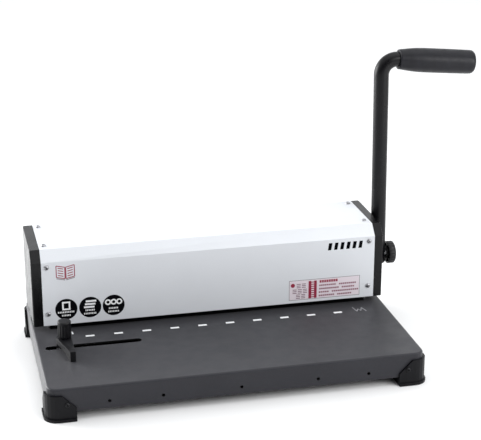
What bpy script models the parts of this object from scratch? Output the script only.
"""Manual wire-loop punching and binding machine, A4 width.

Units are metres, +Z up, +X towards the handle, +Y towards the back.
Every position below is measured from the machine's own datum: the middle of the
table's front edge, on the surface the machine stands on. The parent empty moves
that datum so that the whole machine's bottom centre lies at the world origin.
"""
import math

import bmesh
import bpy
from mathutils import Matrix

MM = 0.001
GAP = 0.3 * MM                      # clearance between pieces that meet

# --- overall sizes -------------------------------------------------------------
TABLE_HALF = 186.2 * MM               # half the table's width
TABLE_DEPTH = 226 * MM
TABLE_TOP = 33 * MM
SKIRT_BOTTOM = 8.8 * MM
SHEET = 1.5 * MM                    # table sheet thickness
CORNER_R = 10 * MM                  # plan radius of the table's corners
BEND_R = 2 * MM

BODY_FRONT = 135.4 * MM             # front face of the cover
BODY_BACK = 225 * MM
BODY_TOP = 118.4 * MM
THROAT_TOP = 39.1 * MM              # lower edge of the cover, above the paper throat
FACET = 10.8 * MM                   # 45 degree facet between the front and the top
BACK_R = 4 * MM
CAP_FOOT = TABLE_TOP + 0.4 * MM     # the caps and frames stand on the table
CAP_HALF = 185.5 * MM               # outer face of the end caps
CAP_CORNER_R = 7 * MM               # plan radius of the caps' rear corners
CAP_RIM_X = {-1: 175.5 * MM, 1: 176.5 * MM}   # inner edge of each cap's exposed rim
CAP_LIP_X = 163 * MM                # inner edge of the lip under the cover
CAP_WALL = 2 * MM
COVER_T = 1.2 * MM
LIP_T = 1.6 * MM
THROAT_DEPTH = 165 * MM             # the throat is open at both ends as far back as this

FOOT_PROUD = 2.5 * MM
FOOT_LIP = 1.4 * MM
FOOT_LEG = 26.9 * MM                # how far a foot reaches along each skirt
FOOT_TOP = 26.5 * MM
FOOT_SLOPE = 13.5 * MM              # size of the 45 degree cut at the end of each leg

# --- handle and drive ----------------------------------------------------------
AXIS_Y = 182.3 * MM
AXIS_Z = 69.5 * MM
ROD_X = 196 * MM
ROD_R = 8 * MM
ROD_FOOT = 10.1 * MM               # how far the rod reaches below the handle axis
LEAN = math.radians(2.3)            # the handle rests leaning back
DROOP = math.radians(5)             # the grip slopes down away from the bend
BEND_RISE = 198.2 * MM              # from the axis up to the start of the bend
ROD_BEND_R = 16 * MM
GRIP_START = 0.8 * MM                 # bare rod between the bend and the grip
GRIP_LEN = 84.8 * MM
SHAFT_R = 6 * MM
STUD_R = 4 * MM

GEAR_MODULE = 1.25 * MM
GEAR_TEETH = 16
PITCH_R = GEAR_MODULE * GEAR_TEETH / 2
PRESSURE = math.radians(20)
BACKLASH = 0.12 * MM
GEAR_X = 150 * MM
GEAR_W = 12 * MM

# --- punch and die -------------------------------------------------------------
HOLES = 34
HOLE_PITCH = 8.467 * MM
HOLE_MID_X = -3 * MM
PUNCH_SIDE = 4 * MM
HOLE_SIDE = 4.6 * MM
PUNCH_Y = 156 * MM
DIE_HALF = 167.5 * MM
FRAME_X = 168 * MM
FRAME_T = 3 * MM
POST_X = 159 * MM
POST_R = 4 * MM
BEAM_BOTTOM = 66.3 * MM
BEAM_TOP = 96 * MM
GUIDE_TOP = 41.3 * MM               # top of the punch guide plate
TIE_BOTTOM = 101 * MM
WIRE_R = 0.6 * MM

# --- edge guide ----------------------------------------------------------------
SLOT_X0, SLOT_X1 = -178.1 * MM, -81.5 * MM
SLOT_Y = 94 * MM
SLOT_W = 8 * MM
GUIDE_X = -158.5 * MM
GUIDE_H = 10.4 * MM
FENCE_X = -152.1 * MM
ARM_LEFT_X = -166.9 * MM            # left side of the guide's rounded rear end
ARM_REAR_Y = 94.3 * MM              # middle of that rounded end
ARM_TIP = (-157.4 * MM, 57 * MM)    # left corner of the guide's narrow front end
ARM_LEDGE = 4 * MM                  # height of the hollowed lower part
STUD_GUIDE_R = 2 * MM

# --- chip tray -----------------------------------------------------------------
TRAY_Y0, TRAY_Y1 = 138 * MM, 174 * MM
TRAY_Z0, TRAY_Z1 = 11.6 * MM, 24.4 * MM
TRAY_X0 = -160 * MM
TRAY_T = 1.2 * MM

COVER_SCREW_X = 170 * MM
FRONT_SCREW_Z = (102.5 * MM, 52 * MM)
TOP_SCREW_Y = (156 * MM, 213.5 * MM)
FOOT_SCREW_X = 168 * MM
FOOT_SCREW_Z = 17.5 * MM
SCREW_R = 1.5 * MM
SKIRT_HOLE_X = (-128 * MM, -76.5 * MM, 0, 76.5 * MM, 128 * MM)
SKIRT_HOLE_Z = 16.2 * MM

REACH_X = (-(TABLE_HALF + FOOT_PROUD + FOOT_LIP), 299.6 * MM)   # feet to the grip's end
DATUM = (-sum(REACH_X) / 2, -TABLE_DEPTH / 2, 0)

STEEL = (0.45, 0.46, 0.48)
DARK_STEEL = (0.12, 0.12, 0.13)
BLACK = (0.012, 0.012, 0.014)
WHITE = (0.78, 0.79, 0.82)
TABLE_GREY = (0.075, 0.078, 0.085)
BRASS = (0.60, 0.42, 0.16)

YZ = (math.pi / 2, 0, math.pi / 2)   # a flat outline's x, y, z become Y, Z, X
XZ = (math.pi / 2, 0, 0)             # ... become X, Z, -Y
XY = (0, 0, 0)


# --- scene helpers -------------------------------------------------------------
def clear_scene():
    for obj in list(bpy.data.objects):
        bpy.data.objects.remove(obj)


def new_collection(name):
    group = bpy.data.collections.new(name)
    bpy.context.scene.collection.children.link(group)
    return group


clear_scene()
PARTS = new_collection("wire_binding_machine")
CUTTERS = new_collection("cutters")
ORIGIN = bpy.data.objects.new("machine_datum", None)
PARTS.objects.link(ORIGIN)
ORIGIN.location = DATUM


def material(name, color, rough, metal=0.0):
    mat = bpy.data.materials.new(name)
    mat.use_nodes = True
    shader = mat.node_tree.nodes["Principled BSDF"]
    shader.inputs["Base Color"].default_value = (*color, 1)
    shader.inputs["Roughness"].default_value = rough
    shader.inputs["Metallic"].default_value = metal
    return mat


def add_object(name, mesh, at=(0, 0, 0), turn=(0, 0, 0)):
    """Link a mesh as an object at a place measured from the machine's datum."""
    obj = bpy.data.objects.new(name, mesh)
    PARTS.objects.link(obj)
    obj.parent = ORIGIN
    obj.location = at
    obj.rotation_euler = turn
    return obj


def finish(obj, color, rough, metal=0.0):
    """Give a part its own material and shade its round faces smooth."""
    obj.data.materials.clear()
    obj.data.materials.append(material(obj.name, color, rough, metal))
    obj.data.shade_smooth()
    obj.data.set_sharp_from_angle(angle=math.radians(35))
    return obj


def use(obj, tool, operation="DIFFERENCE"):
    """Cut a part with a tool, or join the tool to it, and put the tool away."""
    mod = obj.modifiers.new(tool.name, "BOOLEAN")
    mod.operation = operation
    mod.object = tool
    if tool.name in PARTS.objects:
        PARTS.objects.unlink(tool)
        CUTTERS.objects.link(tool)
    tool.hide_render = True
    tool.display_type = "WIRE"
    return obj


def box(name, xs, ys, zs):
    """A box between two limits on each axis."""
    mesh = bpy.data.meshes.new(name)
    shape = bmesh.new()
    bmesh.ops.create_cube(shape, size=1)
    size = (xs[1] - xs[0], ys[1] - ys[0], zs[1] - zs[0])
    bmesh.ops.scale(shape, vec=size, verts=shape.verts)
    shape.to_mesh(mesh)
    shape.free()
    middle = (sum(xs) / 2, sum(ys) / 2, sum(zs) / 2)
    return add_object(name, mesh, middle)


def rod(name, radius, start, length, axis="X", sides=24):
    """A plain cylinder that starts at a point and runs along an axis."""
    mesh = bpy.data.meshes.new(name)
    shape = bmesh.new()
    bmesh.ops.create_cone(shape, cap_ends=True, segments=sides, radius1=radius,
                          radius2=radius, depth=length)
    bmesh.ops.translate(shape, vec=(0, 0, length / 2), verts=shape.verts)
    shape.to_mesh(mesh)
    shape.free()
    turn = {"X": (0, math.pi / 2, 0), "Y": (-math.pi / 2, 0, 0), "Z": (0, 0, 0)}[axis]
    return add_object(name, mesh, start, turn)


def turned(name, profile, at, turn=(0, 0, 0), sides=24):
    """A turned shape about the local Z axis; the profile lists (radius, height), top first."""
    mesh = bpy.data.meshes.new(name)
    points = [(radius, 0, height) for radius, height in profile]
    mesh.from_pydata(points, [(i, i + 1) for i in range(len(points) - 1)], [])
    obj = add_object(name, mesh, at, turn)
    mod = obj.modifiers.new("turn", "SCREW")
    mod.steps = sides
    mod.render_steps = sides
    mod.use_merge_vertices = True
    mod.merge_threshold = 0.00001
    return bake(obj)


def bake(obj):
    """Replace an object's mesh with what its modifiers make of it."""
    graph = bpy.context.evaluated_depsgraph_get()
    mesh = bpy.data.meshes.new_from_object(obj.evaluated_get(graph))
    name, at, turn = obj.name, obj.location.copy(), obj.rotation_euler.copy()
    bpy.data.objects.remove(obj)
    shape = bmesh.new()
    shape.from_mesh(mesh)
    bmesh.ops.remove_doubles(shape, verts=shape.verts, dist=0.000005)
    shape.to_mesh(mesh)
    shape.free()
    return add_object(name, mesh, at, turn)


def outline(name, points, depth, at, turn):
    """A flat outline with a thickness, centred on its own plane."""
    curve = bpy.data.curves.new(name, "CURVE")
    curve.dimensions = "2D"
    curve.fill_mode = "BOTH"
    curve.extrude = depth / 2
    line = curve.splines.new("POLY")
    line.points.add(len(points) - 1)
    for spot, (u, v) in zip(line.points, points):
        spot.co = (u, v, 0, 1)
    line.use_cyclic_u = True
    return bake(add_object(name, curve, at, turn))


def arc(mid, radius, start, end, steps):
    """Points on an arc, angles in degrees."""
    angles = [math.radians(start + (end - start) * i / steps) for i in range(steps + 1)]
    return [(mid[0] + radius * math.cos(a), mid[1] + radius * math.sin(a)) for a in angles]


def round_rect(x0, x1, y0, y1, radius, steps=6):
    """A rectangle with round corners, anticlockwise."""
    corners = ((x1 - radius, y0 + radius, -90), (x1 - radius, y1 - radius, 0),
               (x0 + radius, y1 - radius, 90), (x0 + radius, y0 + radius, 180))
    points = []
    for cx, cy, start in corners:
        points += arc((cx, cy), radius, start, start + 90, steps)
    return points


# --- table, feet and bottom ----------------------------------------------------
def make_base_table():
    """Folded sheet-metal table: a flat top with skirts on all four sides."""
    plan = round_rect(-TABLE_HALF, TABLE_HALF, 0, TABLE_DEPTH, CORNER_R)
    shape = bmesh.new()
    top = shape.faces.new([shape.verts.new((x, y, TABLE_TOP)) for x, y in plan])
    rim = list(top.edges)
    down = bmesh.ops.extrude_edge_only(shape, edges=rim)["geom"]
    for vert in (g for g in down if isinstance(g, bmesh.types.BMVert)):
        vert.co.z = SKIRT_BOTTOM
    bmesh.ops.bevel(shape, geom=rim, offset=BEND_R, segments=3, profile=0.5, affect="EDGES")
    bmesh.ops.recalc_face_normals(shape, faces=shape.faces)
    mesh = bpy.data.meshes.new("base_table")
    shape.to_mesh(mesh)
    shape.free()
    table = add_object("base_table", mesh)
    skin = table.modifiers.new("sheet", "SOLIDIFY")
    skin.thickness = SHEET
    skin.offset = -1
    skin.use_even_offset = True

    mid = ((SLOT_X0 + SLOT_X1) / 2, SLOT_Y, TABLE_TOP)
    half = (SLOT_X1 - SLOT_X0) / 2
    slot = round_rect(-half, half, -SLOT_W / 2, SLOT_W / 2, SLOT_W / 2 - 0.01 * MM, 5)
    use(table, outline("slot_cut", slot, 10 * MM, mid, XY))
    use(table, box("die_window_cut", (-168.5 * MM, 168.5 * MM), (140.5 * MM, 171.5 * MM),
                   (28 * MM, 40 * MM)))
    use(table, box("tray_port_cut", (180 * MM, 190 * MM), (TRAY_Y0 - 0.6 * MM, TRAY_Y1 + 0.6 * MM),
                   (TRAY_Z0 - 0.5 * MM, TRAY_Z1 + 0.6 * MM)))
    for i, x in enumerate(SKIRT_HOLE_X):
        use(table, rod(f"skirt_hole_cut_{i}", 1.7 * MM, (x, -5 * MM, SKIRT_HOLE_Z), 10 * MM, "Y", 12))
    for side in (-1, 1):
        for y in (-5 * MM, TABLE_DEPTH - 5 * MM):
            hole = (side * FOOT_SCREW_X, y, FOOT_SCREW_Z)
            use(table, rod(f"foot_hole_cut_{side}_{y:.3f}", SCREW_R + GAP, hole, 10 * MM, "Y", 12))
    return finish(table, TABLE_GREY, 0.45)


def make_base_plate():
    """Flat bottom plate that closes the underside inside the skirts."""
    inset = SHEET + 1 * MM
    plan = round_rect(-TABLE_HALF + inset, TABLE_HALF - inset, inset, TABLE_DEPTH - inset,
                      CORNER_R - inset)
    top = TRAY_Z0 - 0.4 * MM
    plate = outline("base_plate", plan, 1.2 * MM, (0, 0, top - 0.6 * MM), XY)
    return finish(plate, DARK_STEEL, 0.5, 0.3)


def make_foot(name, side, end):
    """Corner foot that wraps the skirt; side is -1 left, +1 right; end is -1 front, +1 rear."""
    edge_y = 0 if end < 0 else TABLE_DEPTH

    def plan(proud, leg, radius, steps=5):
        """L corner outline with one round outer corner, in world directions."""
        a, b = leg, -proud
        points = [(a, a), (b, a)]
        points += arc((b + radius, b + radius), radius, 180, 270, steps) + [(a, b)]
        return [(side * (TABLE_HALF - u), edge_y - end * v) for u, v in points]

    foot = outline(name, plan(FOOT_PROUD, FOOT_LEG, CORNER_R + FOOT_PROUD), FOOT_TOP,
                   (0, 0, FOOT_TOP / 2), XY)
    lip = outline(name + "_lip", plan(FOOT_PROUD + FOOT_LIP, FOOT_LEG - 0.5 * MM,
                                      CORNER_R + FOOT_PROUD + FOOT_LIP), 3 * MM,
                  (0, 0, 1.5 * MM), XY)
    use(foot, lip, "UNION")
    seat = SKIRT_BOTTOM - GAP
    pocket = outline(name + "_pocket", plan(GAP, FOOT_LEG + 5 * MM, CORNER_R + GAP),
                     FOOT_TOP, (0, 0, seat + FOOT_TOP / 2), XY)
    use(foot, pocket)
    tip = (FOOT_LEG + 0.1 * MM, FOOT_TOP + 0.1 * MM)
    wedge = [tip, (tip[0] - FOOT_SLOPE, tip[1]), (tip[0], tip[1] - FOOT_SLOPE)]
    front = [(side * (TABLE_HALF - u), v) for u, v in wedge]
    use(foot, outline(name + "_front_cut", front, 10 * MM,
                      (0, edge_y + end * 5 * MM, 0), XZ))
    flank = [(edge_y - end * u, v) for u, v in wedge]
    use(foot, outline(name + "_flank_cut", flank, 10 * MM,
                      (side * (TABLE_HALF + 5 * MM), 0, 0), YZ))
    hole = (side * FOOT_SCREW_X, edge_y - 10 * MM, FOOT_SCREW_Z)
    use(foot, rod(name + "_hole", SCREW_R + GAP, hole, 20 * MM, "Y", 12))
    return finish(foot, BLACK, 0.55)


def make_screw(name, at, turn, head_r=2.9 * MM):
    """Pan-head screw; its local +Z points out of the face it is driven into."""
    profile = [(0, 1.7 * MM), (head_r * 0.5, 1.6 * MM), (head_r * 0.85, 1.1 * MM),
               (head_r, 0.1 * MM), (SCREW_R, 0.1 * MM), (SCREW_R, -5.5 * MM), (0, -6 * MM)]
    return finish(turned(name, profile, at, turn, 12), STEEL, 0.3, 1.0)


def make_foot_screws():
    for side, x_name in ((-1, "left"), (1, "right")):
        for y, turn, y_name in ((-FOOT_PROUD - 0.1 * MM, math.pi / 2, "front"),
                                (TABLE_DEPTH + FOOT_PROUD + 0.1 * MM, -math.pi / 2, "rear")):
            at = (side * FOOT_SCREW_X, y, FOOT_SCREW_Z)
            make_screw(f"foot_screw_{y_name}_{x_name}", at, (turn, 0, 0), 2.4 * MM)


# --- casing --------------------------------------------------------------------
def body_path(inset=0.0, front_z=THROAT_TOP, back_z=CAP_FOOT):
    """Side profile of the casing from the front's lower edge over the top to the back."""
    diag = inset * math.tan(math.radians(22.5))
    front, top, back = BODY_FRONT + inset, BODY_TOP - inset, BODY_BACK - inset
    radius = max(BACK_R - inset, 0.5 * MM)
    path = [(front, front_z), (front, BODY_TOP - FACET - diag), (BODY_FRONT + FACET + diag, top)]
    path += arc((back - radius, top - radius), radius, 90, 0, 4) + [(back, back_z)]
    return path


def rear_corner(name, side, reach, back, radius):
    """Prism that rounds an outer rear corner in plan: it fills what lies outside the arc."""
    spare = 2 * MM
    middle = (reach - radius, back - radius)
    plan = arc(middle, radius, 0, 90, 5)
    plan += [(middle[0], back + spare), (reach + spare, back + spare), (reach + spare, middle[1])]
    height = BODY_TOP + 20 * MM
    return outline(name, [(side * x, y) for x, y in plan], height, (0, 0, height / 2), XY)


def make_end_cap(name, side):
    """Folded end cap: outer wall, exposed rim, and a lip that the cover lies on."""
    notch = [(THROAT_DEPTH, CAP_FOOT), (THROAT_DEPTH, THROAT_TOP)]
    rim = CAP_RIM_X[side]
    width = CAP_HALF - rim
    cap = outline(name, body_path() + notch, width, (side * (rim + width / 2), 0, 0), YZ)
    shape = bmesh.new()
    shape.from_mesh(cap.data)
    outer = [e for e in shape.edges if all(v.co.z * side > width / 2 - 0.1 * MM for v in e.verts)
             and e.calc_face_angle(0) > 1.0]
    bmesh.ops.bevel(shape, geom=outer, offset=1.2 * MM, segments=2, profile=0.5, affect="EDGES")
    shape.to_mesh(cap.data)
    shape.free()
    step = COVER_T + GAP
    lip_w = rim - CAP_LIP_X + 2 * MM
    use(cap, outline(name + "_lip", body_path(step), lip_w,
                     (side * (CAP_LIP_X + lip_w / 2), 0, 0), YZ), "UNION")
    hollow = body_path(step + LIP_T, 20 * MM, 20 * MM)
    reach = CAP_HALF - CAP_WALL
    depth = reach - CAP_LIP_X + 5 * MM
    inside = outline(name + "_hollow", hollow, depth, (side * (reach - depth / 2), 0, 0), YZ)
    use(inside, rear_corner(name + "_inner_corner", side, reach, BODY_BACK - step - LIP_T,
                            CAP_CORNER_R - CAP_WALL))
    use(cap, inside)
    use(cap, rear_corner(name + "_corner", side, CAP_HALF, BODY_BACK, CAP_CORNER_R))
    for i, (at, axis) in enumerate(cover_screw_places(side)):
        use(cap, screw_hole(f"{name}_hole_{i}", at, axis))
    if side > 0:
        use(cap, rod(name + "_shaft_hole", SHAFT_R + 1 * MM, (170 * MM, AXIS_Y, AXIS_Z), 20 * MM))
    return finish(cap, BLACK, 0.4, 0.2)


def cover_screw_places(side):
    """Where the four cover screws at one end go, and which way each points."""
    x = side * COVER_SCREW_X
    places = [((x, BODY_FRONT - 0.1 * MM, z), "front") for z in FRONT_SCREW_Z]
    return places + [((x, y, BODY_TOP + 0.1 * MM), "top") for y in TOP_SCREW_Y]


def screw_hole(name, at, facing):
    x, y, z = at
    if facing == "front":
        return rod(name, SCREW_R + GAP, (x, y - 3 * MM, z), 12 * MM, "Y", 12)
    return rod(name, SCREW_R + GAP, (x, y, z - 9 * MM), 12 * MM, "Z", 12)


def make_cover_screws():
    for side, name in ((-1, "left"), (1, "right")):
        for i, (at, facing) in enumerate(cover_screw_places(side)):
            turn = (math.pi / 2, 0, 0) if facing == "front" else (0, 0, 0)
            make_screw(f"cover_screw_{name}_{i + 1}", at, turn)


def make_top_cover():
    """White bent-sheet cover: front, facet, top and a short rear flange."""
    path = body_path(0, THROAT_TOP, 72 * MM)
    count = len(path)
    points = [(side * (CAP_RIM_X[side] - GAP), y, z) for side in (-1, 1) for y, z in path]
    faces = [(i, i + count, i + count + 1, i + 1) for i in range(count - 1)]
    mesh = bpy.data.meshes.new("top_cover")
    mesh.from_pydata(points, [], faces)
    cover = add_object("top_cover", mesh)
    skin = cover.modifiers.new("sheet", "SOLIDIFY")
    skin.thickness = COVER_T
    skin.offset = -1
    skin.use_even_offset = True
    for side in (-1, 1):
        for i, (at, axis) in enumerate(cover_screw_places(side)):
            use(cover, screw_hole(f"top_cover_hole_{side}_{i}", at, axis))
    return finish(cover, WHITE, 0.4)


def make_rear_cover():
    """Lower rear panel with the long port of the wire closer."""
    ends = (GAP - CAP_RIM_X[-1], CAP_RIM_X[1] - GAP)
    panel = box("rear_cover", ends, (BODY_BACK - COVER_T, BODY_BACK), (CAP_FOOT, 72 * MM - GAP))
    use(panel, box("closer_port_cut", (-148 * MM, 148 * MM), (BODY_BACK - 5 * MM, BODY_BACK + 5 * MM),
                   (44.5 * MM, 68 * MM)))
    return finish(panel, BLACK, 0.45, 0.2)


# --- frames and fixed works ----------------------------------------------------
def make_side_frame(name, side):
    """Steel plate that carries the shaft bush, with a bent foot on the table."""
    inset = 7 * MM
    path = body_path(inset, CAP_FOOT, CAP_FOOT)
    shift = 10.5 * MM
    path = [(max(y, BODY_FRONT + shift), z) for y, z in path]
    frame = outline(name, path, FRAME_T, (side * (FRAME_X + FRAME_T / 2), 0, 0), YZ)
    inner, outer = side * (FRAME_X - 11 * MM), side * (FRAME_X + 1 * MM)
    foot = box(name + "_foot", sorted((inner, outer)), (176 * MM, 216 * MM),
               (CAP_FOOT, CAP_FOOT + FRAME_T))
    use(frame, foot, "UNION")
    hole = (side * FRAME_X - 10 * MM, AXIS_Y, AXIS_Z)
    use(frame, rod(name + "_bush_hole", 10 * MM + GAP, hole, 20 * MM))
    return finish(frame, STEEL, 0.35, 1.0)


def make_bush(name, side):
    """Flanged plain bearing in the side frame; it is turned about the shaft's axis."""
    bore = SHAFT_R + GAP
    top = 8 * MM
    profile = [(bore, top), (10 * MM, top), (10 * MM, 2 * MM), (13 * MM, 2 * MM), (13 * MM, 0),
               (bore, 0), (bore, top)]
    face = side * (FRAME_X + FRAME_T + GAP + 2 * MM)
    turn = (0, -side * math.pi / 2, 0)
    return finish(turned(name, profile, (face, AXIS_Y, AXIS_Z), turn, 20), BRASS, 0.3, 1.0)


def hole_places():
    return [HOLE_MID_X + (i - (HOLES - 1) / 2) * HOLE_PITCH for i in range(HOLES)]


def punched_plate(name, ys, zs):
    """A plate with one square hole for each punch, made as a grid with open cells."""
    xs = [-DIE_HALF]
    for x in hole_places():
        xs += [x - HOLE_SIDE / 2, x + HOLE_SIDE / 2]
    xs.append(DIE_HALF)
    rows = [ys[0], PUNCH_Y - HOLE_SIDE / 2, PUNCH_Y + HOLE_SIDE / 2, ys[1]]
    shape = bmesh.new()
    grid = [[shape.verts.new((x, y, zs[0])) for x in xs] for y in rows]
    for r in range(3):
        for c in range(len(xs) - 1):
            is_hole = r == 1 and c % 2 == 1
            if not is_hole:
                shape.faces.new((grid[r][c], grid[r][c + 1], grid[r + 1][c + 1], grid[r + 1][c]))
    raised = bmesh.ops.extrude_face_region(shape, geom=list(shape.faces))["geom"]
    verts = [g for g in raised if isinstance(g, bmesh.types.BMVert)]
    bmesh.ops.translate(shape, vec=(0, 0, zs[1] - zs[0]), verts=verts)
    bmesh.ops.recalc_face_normals(shape, faces=shape.faces)
    mesh = bpy.data.meshes.new(name)
    shape.to_mesh(mesh)
    shape.free()
    return add_object(name, mesh)


def make_die_set():
    """Die plate flush with the table, spacers, depth stop, and the punch guide plate."""
    finish(punched_plate("die_plate", (141 * MM, 171 * MM), (27 * MM, TABLE_TOP)), STEEL, 0.25, 1.0)
    finish(punched_plate("punch_guide_plate", (146 * MM, 166 * MM), (35.3 * MM, GUIDE_TOP)),
           STEEL, 0.25, 1.0)
    slit = (TABLE_TOP + GAP, 35 * MM)
    for side, name in ((-1, "left"), (1, "right")):
        xs = sorted((side * 154 * MM, side * 167 * MM))
        finish(box(f"die_spacer_{name}", xs, (146 * MM, 166 * MM), slit), STEEL, 0.3, 1.0)
    finish(box("paper_depth_stop", (-152 * MM, 152 * MM), (160.8 * MM, 166 * MM), slit),
           STEEL, 0.3, 1.0)


def make_die_rail(name, web, ledge):
    """Angle rail under the table: its ledge carries the die and it guides the tray."""
    xs = (-170 * MM, 170 * MM)
    rail = box(name, xs, web, (TRAY_Z0, 31.2 * MM))
    use(rail, box(name + "_ledge", xs, ledge, (25.2 * MM, 27 * MM - GAP)), "UNION")
    return finish(rail, STEEL, 0.4, 1.0)


def make_tie_bar():
    bar = box("upper_tie_bar", (-FRAME_X + GAP, FRAME_X - GAP), (149 * MM, 163 * MM),
              (TIE_BOTTOM, TIE_BOTTOM + 10 * MM))
    return finish(bar, STEEL, 0.35, 1.0)


def make_guide_post(name, side):
    start = (side * POST_X, PUNCH_Y, GUIDE_TOP + GAP)
    post = rod(name, POST_R, start, TIE_BOTTOM - GUIDE_TOP - 2 * GAP, "Z", 20)
    return finish(post, STEEL, 0.15, 1.0)


def make_return_spring(name, side):
    """Compression spring round a guide post, under the beam."""
    turns, steps, mean_r = 6, 10, 6.4 * MM
    low = GUIDE_TOP + WIRE_R + GAP
    high = BEAM_BOTTOM - WIRE_R - GAP
    curve = bpy.data.curves.new(name, "CURVE")
    curve.dimensions = "3D"
    curve.bevel_depth = WIRE_R
    curve.bevel_resolution = 2
    curve.use_fill_caps = True
    line = curve.splines.new("POLY")
    count = turns * steps
    line.points.add(count)
    for i, spot in enumerate(line.points):
        angle = 2 * math.pi * i / steps
        spot.co = (mean_r * math.cos(angle), mean_r * math.sin(angle),
                   low + (high - low) * i / count, 1)
    spring = add_object(name, curve, (side * POST_X, PUNCH_Y, 0))
    curve.materials.append(material(name, STEEL, 0.3, 1.0))
    return spring


def make_closer_anvil():
    bar = box("closer_anvil", (-150 * MM, 150 * MM), (201 * MM, 221 * MM), (CAP_FOOT, 44 * MM))
    return finish(bar, STEEL, 0.35, 1.0)


# --- handle and drive ----------------------------------------------------------
def make_drive_shaft():
    """Shaft with a stud at the right end that passes through the handle rod."""
    left, shoulder, tip = -176 * MM, ROD_X - ROD_R - GAP, 210 * MM
    profile = [(0, tip), (STUD_R, tip), (STUD_R, shoulder), (SHAFT_R, shoulder),
               (SHAFT_R, left), (0, left)]
    shaft = turned("drive_shaft", profile, (0, AXIS_Y, AXIS_Z), (0, math.pi / 2, 0), 24)
    return finish(shaft, STEEL, 0.2, 1.0)


def involute(base_r, radius):
    """Angle of an involute from its start on the base circle out to a radius."""
    reach = math.sqrt(max(radius * radius / (base_r * base_r) - 1, 0))
    return reach - math.atan(reach)


def pinion_outline():
    """Involute teeth with a gap, not a tooth, centred on the side that faces the rack."""
    base_r = PITCH_R * math.cos(PRESSURE)
    tip_r, root_r = PITCH_R + 0.9 * GEAR_MODULE, PITCH_R - 1.25 * GEAR_MODULE
    thick = (math.pi * GEAR_MODULE / 2 - BACKLASH) / PITCH_R / 2
    thick += involute(base_r, PITCH_R)
    radii = [base_r + (tip_r - base_r) * i / 3 for i in range(4)]
    points = []
    for tooth in range(GEAR_TEETH):
        mid = math.pi + 2 * math.pi * (tooth + 0.5) / GEAR_TEETH
        flank = [(thick - involute(base_r, r), r) for r in radii]
        side = [(thick, root_r)] + flank
        polar = [(mid - a, r) for a, r in side] + [(mid + a, r) for a, r in reversed(side)]
        points += [(r * math.cos(a), r * math.sin(a)) for a, r in polar]
    return points


def make_pinion(name, x):
    gear = outline(name, pinion_outline(), GEAR_W, (x, AXIS_Y, AXIS_Z), YZ)
    use(gear, rod(name + "_bore", SHAFT_R + GAP, (x - GEAR_W, AXIS_Y, AXIS_Z), 2 * GEAR_W))
    return finish(gear, STEEL, 0.3, 1.0)


def make_rack(name, x):
    """Rack on the back of the beam, in mesh with the pinion."""
    pitch_y = AXIS_Y - PITCH_R
    root_y, tip_y = pitch_y - 1.25 * GEAR_MODULE, pitch_y + 0.9 * GEAR_MODULE
    pitch = math.pi * GEAR_MODULE
    half = pitch / 4 - BACKLASH / 2
    lean = math.tan(PRESSURE)
    base_half = half + (pitch_y - root_y) * lean
    tip_half = half - (tip_y - pitch_y) * lean
    low, high = 59.5 * MM, 93.5 * MM
    points = [(164.3 * MM, high), (164.3 * MM, low), (root_y, low)]
    for k in range(-2, 6):
        mid = AXIS_Z + k * pitch
        points += [(root_y, mid - base_half), (tip_y, mid - tip_half),
                   (tip_y, mid + tip_half), (root_y, mid + base_half)]
    points.append((root_y, high))
    return finish(outline(name, points, GEAR_W, (x, 0, 0), YZ), STEEL, 0.3, 1.0)


def make_shaft_collar():
    """Set collar that keeps the shaft from sliding sideways."""
    bore = SHAFT_R + GAP
    profile = [(bore, 7 * MM), (10 * MM, 7 * MM), (10 * MM, 0), (bore, 0), (bore, 7 * MM)]
    collar = turned("shaft_collar", profile, (140 * MM, AXIS_Y, AXIS_Z), (0, -math.pi / 2, 0), 20)
    return finish(collar, DARK_STEEL, 0.4, 1.0)


def handle_path():
    """Centre line of the bent rod in the handle's own plane: (outwards, up)."""
    turn = math.pi / 2 + DROOP
    path = [(0, -ROD_FOOT), (0, 60 * MM), (0, 130 * MM), (0, BEND_RISE)]
    steps = 8
    for i in range(1, steps + 1):
        a = turn * i / steps
        path.append((ROD_BEND_R * (1 - math.cos(a)), BEND_RISE + ROD_BEND_R * math.sin(a)))
    x, z = path[-1]
    run = GRIP_START + 72 * MM
    path.append((x + run * math.cos(DROOP), z - run * math.sin(DROOP)))
    return path


def make_handle_rod():
    """Cranked round rod with a rounded lower end and a cross hole for the stud."""
    curve = bpy.data.curves.new("handle_rod", "CURVE")
    curve.dimensions = "3D"
    curve.bevel_depth = ROD_R
    curve.bevel_resolution = 4
    curve.use_fill_caps = True
    path = handle_path()
    line = curve.splines.new("POLY")
    line.points.add(len(path) - 1)
    for spot, (x, z) in zip(line.points, path):
        spot.co = (x, 0, z, 1)
    bar = bake(add_object("handle_rod", curve, (ROD_X, AXIS_Y, AXIS_Z), (-LEAN, 0, 0)))
    use(bar, rod("handle_rod_hole", STUD_R + GAP, (ROD_X - 20 * MM, AXIS_Y, AXIS_Z), 40 * MM))
    return finish(bar, BLACK, 0.35, 0.3)


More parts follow.
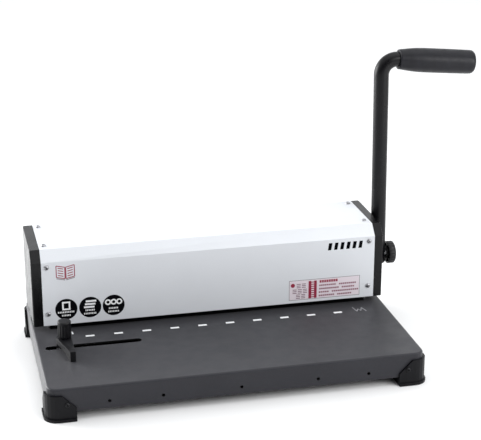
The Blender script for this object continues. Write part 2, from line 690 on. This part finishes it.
def make_handle_grip():
    """Moulded grip: slim at the bend, fullest a quarter of the way, rounded at the end."""
    bore = ROD_R + GAP
    depth = 73 * MM
    shape = [(10.3, 0), (10.6, 0.6), (11.5, 8), (12.5, 17), (13.0, 26), (13.1, 36), (13.0, 50),
             (12.9, 62), (12.8, 74), (12.7, 80), (12.2, 83), (10.4, 84.8)]
    outer = [(radius * MM, height * MM) for radius, height in shape]
    profile = [(0, GRIP_LEN)] + outer[::-1] + [(bore, 0), (bore, depth), (0, depth)]
    x, z = handle_path()[-2]
    reach = (x + GRIP_START * math.cos(DROOP), z - GRIP_START * math.sin(DROOP))
    at = (ROD_X + reach[0], AXIS_Y + reach[1] * math.sin(LEAN), AXIS_Z + reach[1] * math.cos(LEAN))
    tilt = Matrix.Rotation(-LEAN, 3, "X") @ Matrix.Rotation(math.pi / 2 + DROOP, 3, "Y")
    return finish(turned("handle_grip", profile, at, tilt.to_euler(), 24), BLACK, 0.6)


def make_clamp_knob():
    """Round knob with a hollow back; loosening it lets the handle be turned down for packing."""
    profile = [(0, 10.5 * MM), (9 * MM, 10.5 * MM), (11.2 * MM, 9.9 * MM), (12.3 * MM, 8.4 * MM),
               (12.3 * MM, 1.9 * MM), (11.8 * MM, 1.3 * MM), (10.3 * MM, 1.3 * MM),
               (10 * MM, 4.5 * MM), (7.5 * MM, 4.5 * MM), (7.5 * MM, 0), (STUD_R + GAP, 0),
               (STUD_R + GAP, 7 * MM), (0, 7 * MM)]
    at = (ROD_X + ROD_R + GAP, AXIS_Y, AXIS_Z)
    knob = turned("handle_clamp_knob", profile, at, (0, math.pi / 2, 0), 32)
    return finish(knob, BLACK, 0.5)


# --- punch slide ---------------------------------------------------------------
def make_punch_beam():
    """Bar that drives the punches down, sliding on the two guide posts."""
    ys = (148 * MM, 164 * MM)
    beam = box("punch_beam", (-166 * MM, 166 * MM), ys, (BEAM_BOTTOM, BEAM_TOP))
    for side in (-1, 1):
        start = (side * POST_X, PUNCH_Y, BEAM_BOTTOM - 5 * MM)
        use(beam, rod(f"beam_bore_{side}", POST_R + GAP, start, 40 * MM, "Z", 20))
    return finish(beam, STEEL, 0.35, 1.0)


def make_punch_row():
    """Square punches hanging from one strip: each is drawn down out of the strip's cells."""
    places = hole_places()
    low, root, top = 36.3 * MM, 58 * MM, BEAM_BOTTOM - GAP
    half = PUNCH_SIDE / 2
    xs = [places[0] - 6 * MM]
    for x in places:
        xs += [x - half, x + half]
    xs.append(places[-1] + 6 * MM)
    rows = [PUNCH_Y - 4 * MM, PUNCH_Y - half, PUNCH_Y + half, PUNCH_Y + 4 * MM]
    shape = bmesh.new()
    grid = [[shape.verts.new((x, y, top)) for x in xs] for y in rows]
    cells = {}
    for r in range(3):
        for c in range(len(xs) - 1):
            cells[r, c] = shape.faces.new((grid[r][c], grid[r][c + 1], grid[r + 1][c + 1],
                                           grid[r + 1][c]))
    punches = [cells[1, c].calc_center_median().x for c in range(1, len(xs) - 1, 2)]
    strip = bmesh.ops.extrude_face_region(shape, geom=list(shape.faces))["geom"]
    bmesh.ops.translate(shape, vec=(0, 0, root - top),
                        verts=[g for g in strip if isinstance(g, bmesh.types.BMVert)])
    lower = [g for g in strip if isinstance(g, bmesh.types.BMFace)]
    ends = [f for f in lower if abs(f.calc_center_median().y - PUNCH_Y) < 0.1 * MM
            and min(abs(f.calc_center_median().x - x) for x in punches) < 0.1 * MM]
    for face in ends:
        tip = bmesh.ops.extrude_discrete_faces(shape, faces=[face])["faces"]
        bmesh.ops.translate(shape, vec=(0, 0, low - root), verts=tip[0].verts)
    bmesh.ops.recalc_face_normals(shape, faces=shape.faces)
    mesh = bpy.data.meshes.new("punch_row")
    shape.to_mesh(mesh)
    shape.free()
    return finish(add_object("punch_row", mesh), STEEL, 0.2, 1.0)


def make_closer_jaw():
    """Bent plate on the beam: its rear edge comes down on the wire laid on the anvil."""
    low = BEAM_TOP + GAP
    half = 140 * MM
    jaw = box("closer_jaw", (-half, half), (150 * MM, 219 * MM), (low, low + 3 * MM))
    leg = box("closer_jaw_leg", (-half, half), (216 * MM, 219 * MM), (60 * MM, low + 3 * MM))
    use(jaw, leg, "UNION")
    return finish(jaw, STEEL, 0.35, 1.0)


# --- edge guide ----------------------------------------------------------------
def make_edge_guide():
    """Paper fence: straight on the right, undercut on the left, with a key in the slot."""
    mid_x = (ARM_LEFT_X + FENCE_X) / 2
    rear = arc((mid_x, ARM_REAR_Y), FENCE_X - mid_x, 0, 180, 8)
    plan = [ARM_TIP, (FENCE_X, ARM_TIP[1])] + rear
    undercut = [(-162.2 * MM, 88.2 * MM), (-160.5 * MM, 82 * MM), (-159.5 * MM, 74 * MM),
                (-158.8 * MM, 65 * MM)]
    low = TABLE_TOP + GAP
    arm = outline("edge_guide", plan, GUIDE_H - ARM_LEDGE,
                  (0, 0, low + (GUIDE_H + ARM_LEDGE) / 2), XY)
    use(arm, outline("edge_guide_lower", plan + undercut, ARM_LEDGE + 0.2 * MM,
                     (0, 0, low + ARM_LEDGE / 2 + 0.1 * MM), XY), "UNION")
    half_x, half_y = 6 * MM, SLOT_W / 2 - GAP
    key = outline("edge_guide_key", round_rect(-half_x, half_x, -half_y, half_y, half_y - 0.01 * MM),
                  SHEET + 2 * MM, (GUIDE_X, SLOT_Y, TABLE_TOP + (2 * MM - SHEET) / 2), XY)
    use(arm, key, "UNION")
    hole = (GUIDE_X, SLOT_Y, TABLE_TOP - 5 * MM)
    use(arm, rod("edge_guide_hole", STUD_GUIDE_R + GAP, hole, 30 * MM, "Z", 16))
    return finish(arm, BLACK, 0.45)


def make_guide_knob():
    """Ribbed clamp knob with its stud, standing on the edge guide."""
    low, height = TABLE_TOP + GAP + GUIDE_H + GAP, 17.7 * MM
    ribs, deep, full = 16, 6.3 * MM, 6.8 * MM
    plan = []
    for i in range(ribs):
        for shift, radius in ((0.1, full), (0.4, full), (0.6, deep), (0.9, deep)):
            angle = 2 * math.pi * (i + shift) / ribs
            plan.append((radius * math.cos(angle), radius * math.sin(angle)))
    body = height - 1.2 * MM
    knob = outline("guide_knob", plan, body, (GUIDE_X, SLOT_Y, low + body / 2), XY)
    cap = [(0, height), (5.8 * MM, height), (full + 0.05 * MM, height - 1.2 * MM),
           (full + 0.05 * MM, height - 3 * MM), (0, height - 3 * MM)]
    use(knob, turned("guide_knob_cap", cap, (GUIDE_X, SLOT_Y, low), (0, 0, 0), 24), "UNION")
    drop = low - 28.6 * MM
    stud = rod("guide_knob_stud", STUD_GUIDE_R, (GUIDE_X, SLOT_Y, 28.6 * MM), drop + 2 * MM, "Z", 16)
    use(knob, stud, "UNION")
    return finish(knob, BLACK, 0.5)


def make_guide_clamp():
    """Clamp plate under the table, threaded on the knob's stud."""
    top = TABLE_TOP - SHEET - GAP
    plate = box("guide_clamp_plate", (GUIDE_X - 8 * MM, GUIDE_X + 8 * MM),
                (SLOT_Y - 8 * MM, SLOT_Y + 8 * MM), (top - 2 * MM, top))
    hole = (GUIDE_X, SLOT_Y, top - 5 * MM)
    use(plate, rod("guide_clamp_hole", STUD_GUIDE_R + GAP, hole, 10 * MM, "Z", 16))
    return finish(plate, STEEL, 0.4, 1.0)


# --- chip tray -----------------------------------------------------------------
def make_chip_tray():
    """Long open tray under the die, drawn out through the right skirt."""
    face = TABLE_HALF + GAP
    tray = box("chip_tray", (TRAY_X0, face + 0.5 * MM), (TRAY_Y0, TRAY_Y1), (TRAY_Z0, TRAY_Z1))
    front = box("chip_tray_front", (face, face + 1.6 * MM), (TRAY_Y0 - 4 * MM, TRAY_Y1 + 4 * MM),
                (TRAY_Z0 - 1.2 * MM, TRAY_Z1 + 2 * MM))
    use(tray, front, "UNION")
    lip = box("chip_tray_lip", (face + 1 * MM, face + 7 * MM), (TRAY_Y0 + 4 * MM, TRAY_Y1 - 4 * MM),
              (TRAY_Z0 - 1.2 * MM, TRAY_Z0 + 0.4 * MM))
    use(tray, lip, "UNION")
    use(tray, box("chip_tray_hollow", (TRAY_X0 + TRAY_T, TABLE_HALF - TRAY_T),
                  (TRAY_Y0 + TRAY_T, TRAY_Y1 - TRAY_T), (TRAY_Z0 + TRAY_T, TRAY_Z1 + 5 * MM)))
    return finish(tray, BLACK, 0.5)


# --- the whole machine ---------------------------------------------------------
def main():
    make_base_table()
    make_base_plate()
    for end, y_name in ((-1, "front"), (1, "rear")):
        for side, x_name in ((-1, "left"), (1, "right")):
            make_foot(f"foot_{y_name}_{x_name}", side, end)
    make_foot_screws()

    for side, name in ((-1, "left"), (1, "right")):
        make_end_cap(f"end_cap_{name}", side)
        make_side_frame(f"side_frame_{name}", side)
        make_bush(f"shaft_bush_{name}", side)
        make_guide_post(f"guide_post_{name}", side)
        make_return_spring(f"return_spring_{name}", side)
        make_pinion(f"drive_pinion_{name}", side * GEAR_X)
        make_rack(f"drive_rack_{name}", side * GEAR_X)
    make_top_cover()
    make_rear_cover()
    make_cover_screws()

    make_die_set()
    make_die_rail("die_rail_front", (134.5 * MM, 137 * MM), (136 * MM, 145 * MM))
    make_die_rail("die_rail_rear", (175 * MM, 177.5 * MM), (167 * MM, 176 * MM))
    make_tie_bar()
    make_closer_anvil()

    make_drive_shaft()
    make_shaft_collar()
    make_handle_rod()
    make_handle_grip()
    make_clamp_knob()

    make_punch_beam()
    make_punch_row()
    make_closer_jaw()

    make_edge_guide()
    make_guide_knob()
    make_guide_clamp()
    make_chip_tray()


main()
